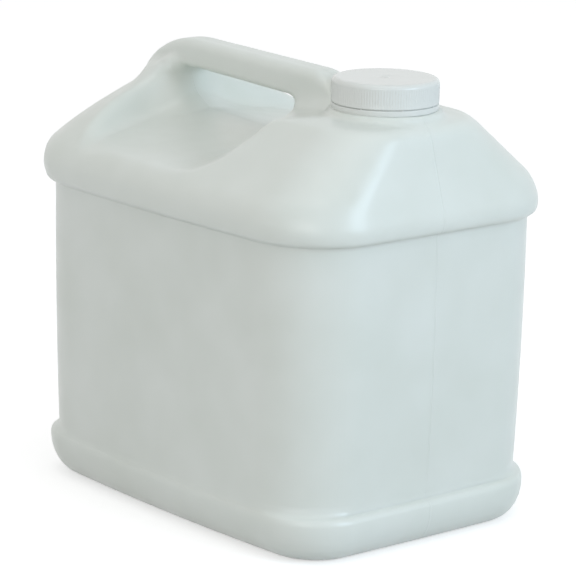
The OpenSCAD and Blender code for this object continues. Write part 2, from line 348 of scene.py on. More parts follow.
    def scoop_height(self, x: Points, y: Points) -> Points:
        """Height of the hand scoop's surface: floor, rear wall under the crest, and front wall.

        Args:
            x: Places along the can.
            y: Places across it.

        Returns:
            Heights.
        """
        ay = np.sqrt(y * y + 9.0)
        flare = self.flare_h * np.exp(-np.maximum(ay - self.grip_w / 2.0, 0.0) / self.flare_r)
        pitch = self.floor_pitch * (1.0 - ay / self.floor_flat_y)
        low = self.deck_z - self.scoop_depth - self.floor_fall * ay - pitch * x
        ridge = (self.deck_z + self.crest_rise - self.crest_fall * ay
                 + self.ridge_pitch * (x + self.half_l - 20.0) + flare)
        steep = math.tan(math.radians(self.rear_slope))
        rear_face = self.band_z + self.brow_up_end + (x + self.half_l) * steep
        crest = soft_min(ridge, rear_face, 20.0)
        rear_wall = low + self.rear_wall_pitch * (self.rear_foot(ay) - x)
        wall_foot = smooth_step((x - self.rear_foot(ay) + 18.0) / 14.0)
        foot_r = 4.0 + (self.wall_foot_r - 4.0) * wall_foot
        behind = soft_max(low, soft_min(rear_wall, crest, self.crest_r), foot_r)
        front_foot = self.front_x - self.front_wall_back + self.front_wall_turn * ay
        lift = flare * smooth_step((x - self.front_x + 12.0) / 12.0)
        behind_neck = self.deck_z - self.neck_drop + self.neck_pitch * x + lift
        ahead = soft_min(low + self.front_wall_pitch * (x - front_foot), behind_neck, 7.0)
        corner = self.crest_r + 22.0 * smooth_step((ay - 30.0) / 50.0)
        return soft_max(behind, ahead, corner)

    def scoop(self, p: Points) -> Points:
        """Distance above the hand scoop's surface."""
        x, y, z = p[:, 0], p[:, 1], p[:, 2]
        here = self.scoop_height(x, y)
        by_x = (self.scoop_height(x + 0.5, y) - here) / 0.5
        by_y = (self.scoop_height(x, y + 0.5) - here) / 0.5
        return (z - here) / np.sqrt(1.0 + by_x * by_x + by_y * by_y)

    def can_top(self, p: Points) -> Points:
        """Distance from the shoulder with the hand scoop cut into it, softer-rimmed to the rear."""
        rearward = smooth_step((-50.0 - p[:, 0]) / 60.0)
        rim_r = self.rim_front_r + (self.rim_rear_r - self.rim_front_r) * rearward
        return soft_max(self.hipped_top(p), self.scoop(p), rim_r)

    def handle_outline(self) -> Points:
        """Side view of the handle as a closed loop of (x, z) points, over the top and back under."""
        turn = np.radians(np.arange(0.0, 90.1, 7.5))
        out, up = 1.0 - np.cos(turn), 1.0 - np.sin(turn)
        end = -self.half_l + self.rear_end_in
        pillar = self.neck_x - self.cap_r - self.cap_gap
        nose_z = self.grip_top - self.grip_sag
        under = self.grip_top - self.grip_h
        throat = self.rear_x - self.throat_back
        rear_leg, foot_z = self.rear_x - self.leg_back, self.deck_z - 44.0
        loop = [(end, foot_z)]
        loop += [(end + self.rear_arc_l * o, self.grip_top - self.rear_arc_h * u) for o, u in zip(out, up)]
        loop += [(pillar - self.nose_l * o, nose_z - self.nose_h * u)
                 for o, u in zip(out[::-1], up[::-1])]
        loop += [(pillar, self.deck_z - 30.0), (self.front_x, self.deck_z - 30.0)]
        loop += [(self.front_x - self.opening_r * o, under - self.grip_taper - self.opening_r * u)
                 for o, u in zip(out, up)]
        loop += [(throat + self.throat_r * o, under - self.throat_r * u)
                 for o, u in zip(out[::-1], up[::-1])]
        loop += [(rear_leg, self.deck_z - 18.0), (rear_leg, foot_z)]
        return np.array(loop)

    def handle(self, p: Points) -> Points:
        """Distance from the handle: its side view, extruded to its width with rounded edges."""
        near = (np.abs(p[:, 1]) < 62.0) & (p[:, 2] > 222.0) & (p[:, 0] < 110.0)
        field = np.full(len(p), 60.0)
        field[near] = self.near_handle(p[near])
        return field

    def near_handle(self, p: Points) -> Points:
        """The handle's distance field close to it."""
        loop = self.handle_outline()
        q = p[:, [0, 2]]
        best = np.full(len(q), 1e9)
        inside = np.zeros(len(q), bool)
        for a, b in zip(loop, np.roll(loop, -1, axis=0)):
            e, w = b - a, q - a
            t = np.clip((w @ e) / (e @ e), 0.0, 1.0)
            best = np.minimum(best, np.hypot(w[:, 0] - e[0] * t, w[:, 1] - e[1] * t))
            crosses = (a[1] <= q[:, 1]) != (b[1] <= q[:, 1])
            where = a[0] + (q[:, 1] - a[1]) * e[0] / (e[1] if abs(e[1]) > 1e-9 else 1e-9)
            inside ^= crosses & (q[:, 0] < where)
        side_view = np.where(inside, -best, best)
        across = np.abs(p[:, 1]) - self.grip_w / 2.0
        upper = smooth_step((p[:, 2] - self.grip_top + 16.0) / 10.0)
        r = self.grip_under_r + (self.grip_edge_r - self.grip_under_r) * upper
        a, b = side_view + r, across + r
        return (np.hypot(np.maximum(a, 0), np.maximum(b, 0))
                + np.minimum(np.maximum(a, b), 0) - r)

    def boss(self, p: Points) -> Points:
        """Distance from the low round boss that the neck stands on."""
        out = np.hypot(p[:, 0] - self.neck_x, p[:, 1]) - self.boss_r
        up = p[:, 2] - self.boss_z
        return soft_max(out, np.maximum(up, self.deck_z - 20.0 - p[:, 2]), 2.0)

    def surface(self, p: Points) -> Points:
        """Signed distance field of the whole moulding above the band, negative inside."""
        can = soft_min(self.can_top(p), self.boss(p), self.boss_blend)
        x, z = p[:, 0], p[:, 2]
        root = smooth_step((x + 140.0) / 18.0) * smooth_step((-66.0 - x) / 24.0)
        root_top = 286.0 + 9.0 * smooth_step((x + 122.0) / 20.0)
        fillet = self.grip_fillet + self.root_fillet * root * smooth_step((root_top - z) / 14.0)
        return soft_min(can, self.handle(p), fillet)

    def foot_end(self) -> float:
        """Half length of the foot band, towards the rear."""
        wall_end = self.half_l - self.band_tuck - self.band_step_end
        return wall_end - self.wall_draft_end + self.foot_step_end

    def foot_side(self) -> float:
        """Half width of the foot band."""
        wall_side = self.half_w - self.band_tuck - self.band_step_side
        return wall_side - self.wall_draft_side + self.foot_step_side

    def foot_level(self, end_in: float, side_in: float, z: float) -> Level:
        """The foot band's outline, drawn in by a distance at its ends and at its sides."""
        r, t = max(self.corner_r - 9.5 - end_in, 6.0), z / self.foot_h
        ease = float(smooth_step(np.array(z / 5.0)))
        rear = self.foot_end() - end_in - self.foot_lean * (1.0 - t) * ease
        front = self.foot_end() + self.foot_lead - end_in - self.foot_lean * t
        return Level(rear, front, self.foot_side() - side_in, r, r, z)

    def wall_level(self, s: float) -> Level:
        """The wall's outline at height share s."""
        swell = self.end_swell * 4.0 * s * (1.0 - s)
        end = self.half_l - self.band_tuck - self.band_step_end - self.wall_draft_end * (1 - s) + swell
        side = self.half_w - self.band_tuck - self.band_step_side - self.wall_draft_side * (1 - s)
        r = self.corner_r - 4.0
        return Level(end, end + self.wall_lead, side, r, r, self.foot_h + self.wall_h * s)

    def band_level(self, inset: float, rise: float) -> Level:
        """The shoulder band's outline near its lower lip."""
        return Level(self.half_l - inset, self.half_l - inset, self.half_w - inset,
                     self.corner_r - inset, self.corner_r - inset, self.band_z + rise)

    def levels_down(self) -> list[Level]:
        """All levels from the shoulder band down to the middle of the base."""
        return self.band_levels() + self.wall_levels() + self.foot_levels() + self.base_levels()

    def band_levels(self) -> list[Level]:
        """The band's rounded lower lip and the fillet under it."""
        lip = ((0.15, 5.0), (0.5, 3.4), (1.0, 2.2), (1.8, 1.1), (2.7, 0.35), (3.6, 0.0))
        top = self.wall_level(1.0)
        fillet = [Level(top.rear + out, top.front + out * 0.8, top.side + out * 0.4,
                        top.front_r + out * 0.6, top.rear_r + out * 0.6, self.band_z - drop)
                  for out, drop in ((1.6, 0.5), (0.7, 1.5), (0.15, 3.4))]
        return [self.band_level(inset, rise) for inset, rise in lip] + fillet

    def wall_levels(self) -> list[Level]:
        """The swollen wall, with closer levels near its foot."""
        return [self.wall_level(s) for s in (0.95, 0.86, 0.74, 0.6, 0.46, 0.32, 0.2, 0.1, 0.04, 0.018)]

    def foot_levels(self) -> list[Level]:
        """The foot band: its small upper edge and the large round under it."""
        base_z = self.foot_h - self.foot_edge_r
        edge = [self.foot_level(self.foot_step_end * (1 - math.cos(t)),
                                self.foot_step_side * (1 - math.cos(t)),
                                base_z + self.foot_edge_r * math.sin(t))
                for t in np.radians((86.0, 68.0, 50.0, 32.0, 14.0))]
        under = [self.foot_level(self.round_in * (1 - math.sin(t)), self.round_in * (1 - math.sin(t)),
                                 base_z * (1 - math.cos(t)))
                 for t in np.radians((90.0, 78.0, 66.0, 54.0, 42.0, 30.0, 18.0, 7.0))]
        return edge + under

    def base_levels(self) -> list[Level]:
        """The ring that the can stands on and the base pushed up inside it."""
        out = self.round_in + self.stand_w
        rise = ((0.0, 0.0), (1.2, 0.25), (3.5, 1.6), (7.0, 3.0), (14.0, self.push_up - 0.2),
                (26.0, self.push_up), (48.0, self.push_up))
        return ([self.foot_level(self.round_in, self.round_in, 0.0)]
                + [self.foot_level(out + inset, out + inset, z) for inset, z in rise])


class CanShell:
    """The blow-moulded can: shoulder, handle and scoop as one smooth skin, wall and foot under it."""

    VOXEL = 2.4
    JOIN_Z = 213.0
    MOUTH_R = 28.2

    def __init__(self, form: CanForm, neck: "Neck", wall: float = 2.0) -> None:
        """Keep the can's sizes, its neck and the thickness of its wall, in millimetres."""
        self.form = form
        self.neck = neck
        self.wall = wall

    def rough_top(self) -> bpy.types.Mesh:
        """A coarse closed solid of shoulder and handle, remeshed to even quads.

        Returns:
            The remeshed solid, in metres.
        """
        form = self.form
        bm = bmesh.new()
        plan_l, plan_w = form.can_l * MM + 0.021, form.can_w * MM + 0.02
        grid = bmesh.ops.create_grid(bm, x_segments=130, y_segments=98, size=0.5)
        bmesh.ops.scale(bm, vec=(plan_l, plan_w, 1.0), verts=grid["verts"])
        plan = np.array([v.co[:] for v in grid["verts"]]) / MM
        top = np.full(len(plan), form.band_z - 2.0)
        for z in np.arange(form.band_z, form.deck_z + 4.0, 1.0):
            plan[:, 2] = z
            top = np.where(form.can_top(plan) < 0.0, z, top)
        for vert, z in zip(grid["verts"], top):
            vert.co.z = z * MM
        skirt = bmesh.ops.extrude_face_region(bm, geom=bm.faces[:])
        for item in skirt["geom"]:
            if isinstance(item, bmesh.types.BMVert):
                item.co.z = (form.band_z - 8.0) * MM
        half = form.grip_w / 2.0 * MM
        loop = [bm.verts.new((x * MM, -half, z * MM)) for x, z in form.handle_outline()]
        face = bm.faces.new(loop)
        lifted = bmesh.ops.extrude_face_region(bm, geom=[face])
        bmesh.ops.translate(bm, vec=(0.0, 2.0 * half, 0.0),
                            verts=[v for v in lifted["geom"] if isinstance(v, bmesh.types.BMVert)])
        boss_at = Matrix.Translation((form.neck_x * MM, 0.0, (form.boss_z - 10.0) * MM))
        bmesh.ops.create_cone(bm, cap_ends=True, segments=48, radius1=36.0 * MM, radius2=36.0 * MM,
                              depth=20.0 * MM, matrix=boss_at)
        bmesh.ops.recalc_face_normals(bm, faces=bm.faces)
        rough = new_object("rough_top", bm)
        remesh = rough.modifiers.new("even quads", "REMESH")
        remesh.mode = "VOXEL"
        remesh.voxel_size = self.VOXEL * MM
        return with_modifiers_applied(rough)

    def pull(self, points: Points, rounds: int) -> Points:
        """Move points onto the smooth surface by Newton steps of at most 3 mm.

        Args:
            points: The points, in millimetres.
            rounds: Number of steps.

        Returns:
            The moved points.
        """
        field = self.form.surface
        for _ in range(rounds):
            slope = np.stack([field(points + step) - field(points - step)
                              for step in np.eye(3) * 0.2], axis=1) / 0.4
            size = np.maximum((slope * slope).sum(1), 0.05)
            move = -(field(points) / size)[:, None] * slope
            reach = np.linalg.norm(move, axis=1, keepdims=True)
            points = points + move * np.minimum(1.0, 3.0 / np.maximum(reach, 1e-9))
        return points

    def settle(self, bm: bmesh.types.BMesh) -> None:
        """Move every vertex onto the can's smooth surface, evening out the mesh on the way."""
        links = np.array([(e.verts[0].index, e.verts[1].index) for e in bm.edges])
        points = np.array([v.co[:] for v in bm.verts]) / MM
        count = np.bincount(links.ravel(), minlength=len(points)).astype(float)[:, None]
        points = self.pull(points, 5)
        for _ in range(8):
            total = np.zeros_like(points)
            np.add.at(total, links[:, 0], points[links[:, 1]])
            np.add.at(total, links[:, 1], points[links[:, 0]])
            points = self.pull(0.5 * points + 0.5 * total / count, 1)
        points = self.pull(points, 3)
        for vert, point in zip(bm.verts, points * MM):
            vert.co = point

    def on_level(self, unit: Points, level: Level) -> Points:
        """Place ring points on a level.

        Args:
            unit: For each point its share along the straight sides in X and Y, and the
                direction of its corner in X and Y.
            level: The level.

        Returns:
            Points in metres.
        """
        middle, reach = (level.front - level.rear) / 2.0, (level.front + level.rear) / 2.0
        r = np.where(unit[:, 0] > 0, level.front_r, level.rear_r)
        r = np.minimum(r, level.side - 1.0)
        x = unit[:, 0] * (reach - r) + unit[:, 2] * r
        y = unit[:, 1] * (level.side - r) + unit[:, 3] * r
        u, v = x / reach, y / level.side
        x, y = (x * (1.0 - self.form.end_bow / reach * v * v),
                y * (1.0 - self.form.side_bow / level.side * u * u))
        return np.stack([x + middle, y, np.full(len(x), level.z)], axis=1) * MM

    def join_level(self) -> Level:
        """The shoulder's outline at the height where skin and rings join."""
        rear, front, side, front_r, rear_r = (
            float(v[0]) for v in self.form.shoulder(np.array([self.JOIN_Z])))
        return Level(rear, front, side, front_r, rear_r, self.JOIN_Z)

    def ring_units(self, points: Points) -> Points:
        """Read where the points of the cut ring lie along its sides and corners."""
        form, join = self.form, self.join_level()
        side = join.side
        middle, reach = (join.front - join.rear) / 2.0, (join.front + join.rear) / 2.0
        x, y = points[:, 0] - middle, points[:, 1]
        x, y = (x / (1.0 - form.end_bow / reach * np.clip(y / side, -1, 1) ** 2),
                y / (1.0 - form.side_bow / side * np.clip(x / reach, -1, 1) ** 2))
        r = np.where(x > 0, join.front_r, join.rear_r)
        cx, cy = np.clip(x, -(reach - r), reach - r), np.clip(y, -(side - r), side - r)
        nx, ny = x - cx, y - cy
        size = np.maximum(np.hypot(nx, ny), 1e-6)
        return np.stack([cx / (reach - r), cy / (side - r), nx / size, ny / size], axis=1)

    def build(self) -> bpy.types.Object:
        """Build the whole can as one mesh with a real wall.

        Returns:
            The can, in place.
        """
        bm = bmesh.new()
        bm.from_mesh(self.rough_top())
        self.cut_level(bm, self.JOIN_Z - 5.0)
        self.settle(bm)
        self.cut_level(bm, self.JOIN_Z)
        bmesh.ops.remove_doubles(bm, verts=bm.verts, dist=0.4 * MM)
        self.grow_down(bm)
        bmesh.ops.recalc_face_normals(bm, faces=bm.faces)
        self.cut_mouth(bm)
        can = new_object("can_shell", bm)
        thick = can.modifiers.new("wall", "SOLIDIFY")
        thick.thickness, thick.offset = self.wall * MM, -1.0
        bm = bmesh.new()
        bm.from_mesh(with_modifiers_applied(can))
        self.neck.add_to(bm)
        bmesh.ops.recalc_face_normals(bm, faces=bm.faces)
        return new_object("can_moulding", bm)

    def cut_level(self, bm: bmesh.types.BMesh, z: float) -> None:
        """Cut the skin level and keep what is above."""
        bmesh.ops.bisect_plane(bm, geom=bm.verts[:] + bm.edges[:] + bm.faces[:], dist=1e-6,
                               plane_co=(0.0, 0.0, z * MM), plane_no=(0.0, 0.0, 1.0), clear_inner=True)

    def grow_down(self, bm: bmesh.types.BMesh) -> None:
        """Extrude the cut ring level by level down to the base, and close the base."""
        edges = [e for e in bm.edges if e.is_boundary and e.verts[0].co.z < (self.JOIN_Z + 1.0) * MM]
        verts = list({v for e in edges for v in e.verts})
        units = self.ring_units(np.array([v.co[:] for v in verts]) / MM)
        for vert, point in zip(verts, self.on_level(units, self.join_level())):
            vert.co = point
        order = {v: i for i, v in enumerate(verts)}
        for level in self.form.levels_down():
            grown = bmesh.ops.extrude_edge_only(bm, edges=edges)["geom"]
            lower = {g for g in grown if isinstance(g, bmesh.types.BMVert)}
            edges = [g for g in grown if isinstance(g, bmesh.types.BMEdge)
                     and g.verts[0] in lower and g.verts[1] in lower]
            placed = self.on_level(units, level)
            follow: dict[bmesh.types.BMVert, int] = {}
            for vert in lower:
                above = next(v for v in (e.other_vert(vert) for e in vert.link_edges) if v in order)
                follow[vert] = order[above]
                vert.co = placed[follow[vert]]
            order = follow
        bmesh.ops.edgeloop_fill(bm, edges=edges)

    def cut_mouth(self, bm: bmesh.types.BMesh) -> None:
        """Open the deck under the neck's bore."""
        form = self.form
        centre = Vector((form.neck_x * MM, 0.0))
        gone = [f for f in bm.faces if f.calc_center_median().z > (form.deck_z - 2.0) * MM
                and (f.calc_center_median().xy - centre).length < (self.MOUTH_R - 0.2) * MM]
        bmesh.ops.delete(bm, geom=gone, context="FACES")
        for vert in {v for e in bm.edges if e.is_boundary for v in e.verts}:
            out = vert.co.xy - centre
            vert.co.xy = centre + out.normalized() * self.MOUTH_R * MM


# Closure

@dataclass(frozen=True)
class ClosureSizes:
    """Sizes of neck, cap, ring and wad in millimetres, as the part's source has them."""

    axis_x: float = 95.0
    boss_z: float = 277.5
    neck_r: float = 29.5
    neck_wall: float = 2.5
    bead_r: float = 32.2
    hook_r: float = 31.4
    skirt_r: float = 32.7
    cap_r: float = 34.5
    ring_z: float = 278.3
    ring_h: float = 3.0
    ring_gap: float = 0.6
    cap_h: float = 15.6
    cap_top_t: float = 1.8
    edge_r: float = 3.4
    liner_t: float = 1.2
    bridges: int = 8
    pitch: float = 4.233

    @property
    def skirt_z(self) -> float:
        """Height of the skirt's lower edge."""
        return self.ring_z + self.ring_h + self.ring_gap

    @property
    def cap_top(self) -> float:
        """Height of the cap's top."""
        return self.skirt_z + self.cap_h

    @property
    def rim_z(self) -> float:
        """Height of the neck's rim, which the wad seals."""
        return self.cap_top - self.cap_top_t - self.liner_t


def arc(centre: tuple[float, float], radius: float, start: float, end: float,
        steps: int) -> list[tuple[float, float]]:
    """Points of an arc in (radius, height), with angles in degrees from level."""
    angles = [math.radians(start + (end - start) * i / steps) for i in range(steps + 1)]
    return [(centre[0] + radius * math.cos(a), centre[1] + radius * math.sin(a)) for a in angles]


THREAD_STEPS = 72
THREAD_TAPER = 9.0


def thread(bm: bmesh.types.BMesh, sizes: ClosureSizes, root_r: float, crest_r: float, z: float,
           turns: float) -> None:
    """Add a helical thread ridge, tapered to nothing at both ends.

    Args:
        bm: The bmesh that gets the ridge.
        sizes: The closure's sizes.
        root_r: Radius that the ridge stands on.
        crest_r: Radius of its crest.
        z: Height at which it starts.
        turns: Number of turns.
    """
    steps = int(THREAD_STEPS * turns)
    ridge = bmesh.new()
    ring = [(root_r, -1.1), (crest_r, -0.45), (crest_r, 0.25), (root_r, 1.1)]
    verts = [ridge.verts.new(((sizes.axis_x + r) * MM, 0.0, (z + dz) * MM)) for r, dz in ring]
    edges = [ridge.edges.new((verts[i], verts[(i + 1) % 4])) for i in range(4)]
    end = bmesh.ops.spin(ridge, geom=verts + edges, cent=(sizes.axis_x * MM, 0.0, 0.0),
                         axis=(0.0, 0.0, 1.0), dvec=(0.0, 0.0, sizes.pitch * turns * MM / steps),
                         angle=2.0 * math.pi * turns, steps=steps)["geom_last"]
    bmesh.ops.contextual_create(ridge, geom=[e for e in end if isinstance(e, bmesh.types.BMEdge)])
    bmesh.ops.contextual_create(ridge, geom=edges)
    axis = Vector((sizes.axis_x * MM, 0.0))
    for index, vert in enumerate(ridge.verts):
        row = index // 4
        share = min(row, steps - row) / THREAD_TAPER
        if share < 1.0:
            out = vert.co.xy - axis
            reach = root_r * MM + (out.length - root_r * MM) * max(share, 0.02)
            vert.co.xy = axis + out.normalized() * reach
    finished = bpy.data.meshes.new("thread")
    ridge.to_mesh(finished)
    ridge.free()
    bm.from_mesh(finished)
    bpy.data.meshes.remove(finished)


class Neck:
    """The neck that the moulding's mouth carries: barrel, tamper bead, thread and sealing rim."""

    def __init__(self, sizes: ClosureSizes) -> None:
        """Keep the closure's sizes."""
        self.sizes = sizes

    def add_to(self, bm: bmesh.types.BMesh) -> None:
        """Add the neck as one closed turned form to the can's bmesh."""
        s = self.sizes
        bore = s.neck_r - s.neck_wall
        profile = [(bore, s.boss_z - 2.4), (bore, s.rim_z - 0.8)]
        profile += arc((bore + 0.8, s.rim_z - 0.8), 0.8, 180.0, 90.0, 4)[1:]
        profile += arc((s.neck_r - 1.0, s.rim_z - 1.0), 1.0, 90.0, 0.0, 5)
        profile += [(s.neck_r, s.ring_z + 4.6), (s.bead_r - 0.5, s.ring_z + 3.3)]
        profile += arc((s.bead_r - 0.3, s.ring_z + 2.7), 0.3, 60.0, -60.0, 4)
        profile += [(s.neck_r + 0.3, s.ring_z + 1.7), (s.neck_r, s.ring_z + 1.3),
                    (s.neck_r, s.boss_z + 0.4), (s.neck_r + 0.5, s.boss_z - 0.1),
                    (s.neck_r + 0.5, s.boss_z - 2.4)]
        revolve(bm, profile, 144, s.axis_x, closed=True)
        thread(bm, s, s.neck_r - 0.1, s.neck_r + 1.4, s.ring_z + 6.4, 1.9)


class Cap:
    """The screw cap: knurled skirt, round top edge, gate mark and inner thread."""

    RIBS = 120
    RIB_DEPTH = 0.28
    GATE_MARK = ((4.2, 0.0), (3.4, -0.12), (2.6, -0.05), (1.9, 0.2), (1.2, 0.25), (0.7, 0.1), (0.0, 0.05))

    def __init__(self, sizes: ClosureSizes) -> None:
        """Keep the closure's sizes."""
        self.sizes = sizes

    def build(self) -> bpy.types.Object:
        """Build the cap.

        Returns:
            The cap, in place.
        """
        s = self.sizes
        low, top = s.skirt_z, s.cap_top
        inner = top - s.cap_top_t
        profile = [(0.0, inner), (26.6, inner), (s.skirt_r - 1.0, inner)]
        profile += arc((s.skirt_r - 0.8, inner - 0.8), 0.8, 90.0, 0.0, 4)[1:]
        profile += [(s.skirt_r, low + 0.5)]
        profile += arc((s.skirt_r + 0.4, low + 0.4), 0.4, 180.0, 270.0, 3)
        profile += arc((s.cap_r - 0.5, low + 0.5), 0.5, 270.0, 360.0, 4)
        profile += [(s.cap_r, low + rise) for rise in (1.0, 1.5, 4.5, 8.0)]
        profile += [(s.cap_r, top - s.edge_r - 0.6)]
        profile += arc((s.cap_r - s.edge_r, top - s.edge_r), s.edge_r, 0.0, 90.0, 12)
        profile += [(27.0, top), (20.0, top), (10.0, top)]
        profile += [(r, top + rise) for r, rise in self.GATE_MARK]
        bm = bmesh.new()
        revolve(bm, profile, self.RIBS * 4, s.axis_x)
        self.knurl(bm)
        thread(bm, s, s.skirt_r + 0.1, s.skirt_r - 1.55, low + 3.4, 1.8)
        bmesh.ops.recalc_face_normals(bm, faces=bm.faces)
        return new_object("screw_cap", bm)

    def knurl(self, bm: bmesh.types.BMesh) -> None:
        """Press shallow grooves between the ribs into the skirt's outside."""
        s = self.sizes
        axis = Vector((s.axis_x * MM, 0.0))
        for vert in bm.verts:
            out = vert.co.xy - axis
            z = vert.co.z / MM
            if out.length < (s.cap_r - 0.6) * MM or z < s.skirt_z + 0.9:
                continue
            fade = float(smooth_step(np.array((s.cap_top - s.edge_r + 1.2 - z) / 1.8)))
            fade *= float(smooth_step(np.array((z - s.skirt_z - 0.9) / 0.6)))
            wave = 0.5 - 0.5 * math.cos(math.atan2(out.y, out.x) * self.RIBS)
            vert.co.xy = axis + out * (1.0 - self.RIB_DEPTH * MM * wave * fade / out.length)


class TamperRing:
    """The tamper ring that stays on the neck, with its low inner lip and the stubs of its bridges."""

    def __init__(self, sizes: ClosureSizes) -> None:
        """Keep the closure's sizes."""
        self.sizes = sizes

    def build(self) -> bpy.types.Object:
        """Build the ring.

        Returns:
            The ring, in place.
        """
        s = self.sizes
        low, top = s.boss_z + 0.1, s.ring_z + s.ring_h
        profile = [(s.hook_r, low + 0.9), (s.hook_r + 0.2, low), (s.cap_r - 0.7, low)]
        profile += arc((s.cap_r - 0.7, low + 0.5), 0.5, 270.0, 360.0, 4)[1:]
        profile += arc((s.cap_r - 0.5, top - 0.5), 0.5, 0.0, 90.0, 4)
        lip_r, lip_z = s.cap_r - 0.9, top + 0.45
        profile += [(lip_r, top), (lip_r, lip_z), (s.skirt_r + 0.2, lip_z), (s.skirt_r, top + 0.2),
                    (s.skirt_r, low + 2.8), (s.hook_r, low + 2.0)]
        bm = bmesh.new()
        revolve(bm, profile, 144, s.axis_x, closed=True)
        for index in range(s.bridges):
            turn = Matrix.Rotation(math.radians((index + 0.5) * 360.0 / s.bridges), 4, "Z")
            size = Matrix.Diagonal((1.3 * MM, 1.2 * MM, (s.ring_gap + 0.2) * MM, 1.0))
            place = Matrix.Translation((s.axis_x * MM, 0.0, (top + s.ring_gap / 2.0 - 0.2) * MM))
            shift = Matrix.Translation(((s.skirt_r + 0.85) * MM, 0.0, 0.0))
            bmesh.ops.create_cube(bm, size=1.0, matrix=place @ turn @ shift @ size)
        bmesh.ops.recalc_face_normals(bm, faces=bm.faces)
        return new_object("tamper_ring_moulding", bm)


class Wad:
    """The sealing wad under the cap's top."""

    def __init__(self, sizes: ClosureSizes) -> None:
        """Keep the closure's sizes."""
        self.sizes = sizes

    def build(self) -> bpy.types.Object:
        """Build the wad.

        Returns:
            The wad, in place.
        """
        s = self.sizes
        low, top, r = s.rim_z, s.rim_z + s.liner_t, s.neck_r + 1.2
        profile = [(0.0, low), (s.neck_r - s.neck_wall, low), (r - 0.2, low)]
        profile += arc((r - 0.2, low + 0.2), 0.2, 270.0, 360.0, 3)[1:]
        profile += arc((r - 0.2, top - 0.2), 0.2, 0.0, 90.0, 3)
        profile += [(0.0, top)]
        bm = bmesh.new()
        revolve(bm, profile, 96, s.axis_x)
        bmesh.ops.recalc_face_normals(bm, faces=bm.faces)
        return new_object("sealing_wad", bm)


# Finishes

def linear(hex_colour: str) -> tuple[float, float, float, float]:
    """Turn an sRGB hex colour into linear values."""
    channels = [int(hex_colour[i:i + 2], 16) / 255.0 for i in (1, 3, 5)]
    return (*[c / 12.92 if c <= 0.04045 else ((c + 0.055) / 1.055) ** 2.4 for c in channels], 1.0)


def add_node(tree: bpy.types.NodeTree, kind: str, links: dict | None = None,
             **settings) -> bpy.types.Node:
    """Add a node with its settings and its input values or links.

    Args:
        tree: The node tree.
        kind: The node's type.
        links: Input name or index to a value, or to the output socket that feeds it.
        **settings: Attributes of the node.

    Returns:
        The new node.
    """
    node = tree.nodes.new(kind)
    for key, value in settings.items():
        setattr(node, key, value)
    for key, value in (links or {}).items():
        if isinstance(value, bpy.types.NodeSocket):
            tree.links.new(value, node.inputs[key])
        else:
            node.inputs[key].default_value = value
    return node


@dataclass(frozen=True)
class Finish:
    """A plastic and the way its surface was made."""

    name: str
    colour: str
    roughness: float
    ior: float
    glow_through: float
    depth_mm: float
    peel_mm: float
    peel_height_mm: float

    def shader(self, tree: bpy.types.NodeTree, links: dict) -> bpy.types.Node:
        """Add the plastic's shader, with its plain values on its own sockets."""
        values = {"Base Color": linear(self.colour), "Roughness": self.roughness, "IOR": self.ior,
                  "Subsurface Weight": self.glow_through, "Subsurface Radius": (1.0, 1.0, 1.0),
                  "Subsurface Scale": self.depth_mm * MM}
        return add_node(tree, "ShaderNodeBsdfPrincipled", {**values, **links})

    def noise(self, tree: bpy.types.NodeTree, place: bpy.types.NodeSocket, size_mm: float,
              detail: float) -> bpy.types.Node:
        """Add a noise whose patches are about as wide as the given size in millimetres."""
        return add_node(tree, "ShaderNodeTexNoise", {"Vector": place, "Scale": 1.0 / (size_mm * MM),
                                                     "Detail": detail})

    def peel(self, tree: bpy.types.NodeTree, place: bpy.types.NodeSocket, **links) -> bpy.types.Node:
        """Add the fine unevenness of the moulded skin."""
        grain = self.noise(tree, place, self.peel_mm, 2.0)
        return add_node(tree, "ShaderNodeBump", {"Height": grain.outputs["Fac"], "Strength": 1.0,
                                                 "Distance": self.peel_height_mm * MM, **links})

    def build(self) -> bpy.types.Material:
        """Make the material.

        Returns:
            The material.
        """
        made = bpy.data.materials.new(self.name)
        made.use_nodes = True
        tree = made.node_tree
        tree.nodes.clear()
        place = add_node(tree, "ShaderNodeTexCoord").outputs["Object"]
        shader = self.shader(tree, self.patterns(tree, place))
        add_node(tree, "ShaderNodeOutputMaterial", {"Surface": shader.outputs[0]})
        return made

    def patterns(self, tree: bpy.types.NodeTree, place: bpy.types.NodeSocket) -> dict:
        """Add the patterns of the surface and say which sockets they feed."""
        return {"Normal": self.peel(tree, place).outputs[0]}


